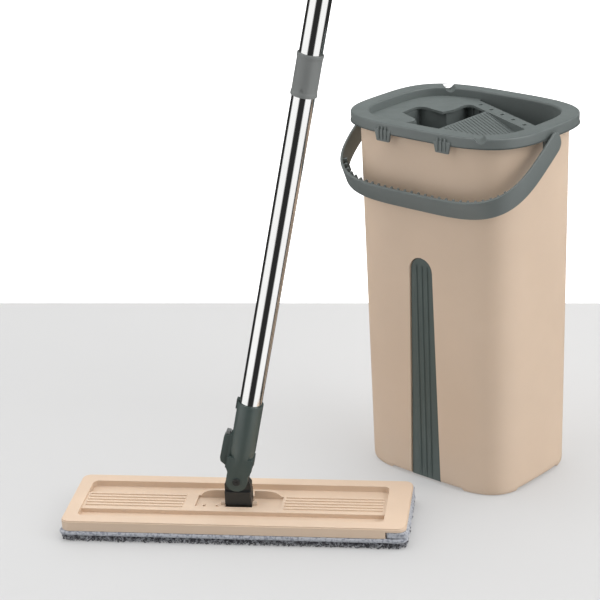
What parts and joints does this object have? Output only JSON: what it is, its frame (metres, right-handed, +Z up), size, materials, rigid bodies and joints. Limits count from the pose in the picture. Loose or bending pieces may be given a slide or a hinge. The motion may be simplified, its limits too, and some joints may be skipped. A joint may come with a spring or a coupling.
{
  "type": "flat mop and wringer bucket",
  "caption": "Flat mop with a hinged head and a long jointed pole, beside a tall narrow bucket whose lift-off top has a wringing slot, a ribbed board and a bail handle.",
  "frame": {"origin": "on the floor, at the middle of the overall box of the mop and the bucket", "axes": "+Z up along the standing pole; the bucket's panelled face looks along -Y and its long side runs along X"},
  "size_m": [0.383, 0.4752, 1.2545],
  "materials": {
    "beige_plastic": "moulded polypropylene, satin",
    "grey_plastic": "moulded polypropylene, satin, grey-green",
    "dark_plastic": "moulded plastic, satin, dark grey-green",
    "collar_plastic": "moulded plastic, satin, mid grey",
    "tube_steel": "polished stainless tube",
    "screw_steel": "bright zinc plated",
    "lip_rubber": "soft black rubber",
    "hook_tape": "woven hook tape",
    "pad_knit": "light knitted backing",
    "pad_pile": "dense looped microfibre, grey"
  },
  "bodies": {
    "bucket": {"bucket_body": "beige_plastic", "front_panel": "dark_plastic"},
    "wringer": {"wringer_frame": "grey_plastic", "slot_guide": "grey_plastic", "scraper_bar": "grey_plastic", "scraper_lip": "lip_rubber", "guide_screw_1": "screw_steel", "guide_screw_2": "screw_steel", "guide_screw_3": "screw_steel", "guide_screw_4": "screw_steel", "scraper_screw_1": "screw_steel", "scraper_screw_2": "screw_steel"},
    "bail": {"bail_handle": "grey_plastic"},
    "mop_head": {"head_plate": "beige_plastic", "tilt_pin": "screw_steel", "hook_strip_front": "hook_tape", "hook_strip_back": "hook_tape", "pad_pocket": "pad_knit", "pad_backing": "pad_knit", "pad_pile": "pad_pile"},
    "swivel": {"swivel_block": "dark_plastic"},
    "pole": {"yoke": "dark_plastic", "swing_screw": "dark_plastic", "swing_nut": "screw_steel", "pole_tube_1": "tube_steel", "pole_tube_2": "tube_steel", "pole_tube_3": "tube_steel", "pole_collar_1": "collar_plastic", "pole_collar_2": "collar_plastic", "joint_plug_1": "dark_plastic", "joint_plug_2": "dark_plastic", "pole_grip": "dark_plastic", "hanging_eye": "collar_plastic"},
    "latch": {"latch_button": "dark_plastic", "latch_tip": "grey_plastic"}
  },
  "joints": [
    {"name": "wringer_lift", "type": "slide", "parent": "bucket", "child": "wringer", "axis": [0, 0, 1], "range_m": [0, 0.12]},
    {"name": "bail_swing", "type": "hinge", "parent": "wringer", "child": "bail", "pos_m": [0.0673, 0.1483, 0.3625], "axis": [-1, 0, 0], "range_deg": [0, 200]},
    {"name": "mop_lift", "type": "slide", "parent": "bucket", "child": "mop_head", "axis": [0, 0, 1], "range_m": [0, 0.4]},
    {"name": "head_tilt", "type": "hinge", "parent": "mop_head", "child": "swivel", "pos_m": [-0.02483, -0.09865, 0.0173], "axis": [0.8247, 0.5655, 0], "range_deg": [-35, 35]},
    {"name": "pole_swing", "type": "hinge", "parent": "swivel", "child": "pole", "pos_m": [-0.02483, -0.09865, 0.0465], "axis": [-0.5655, 0.8247, 0], "range_deg": [-91, 76]},
    {"name": "latch_slide", "type": "slide", "parent": "pole", "child": "latch", "axis": [-0.1687, -0.1157, -0.9789], "range_m": [0, 0.006], "stiffness_N_per_m": 300, "springref_m": -0.005}
  ]
}
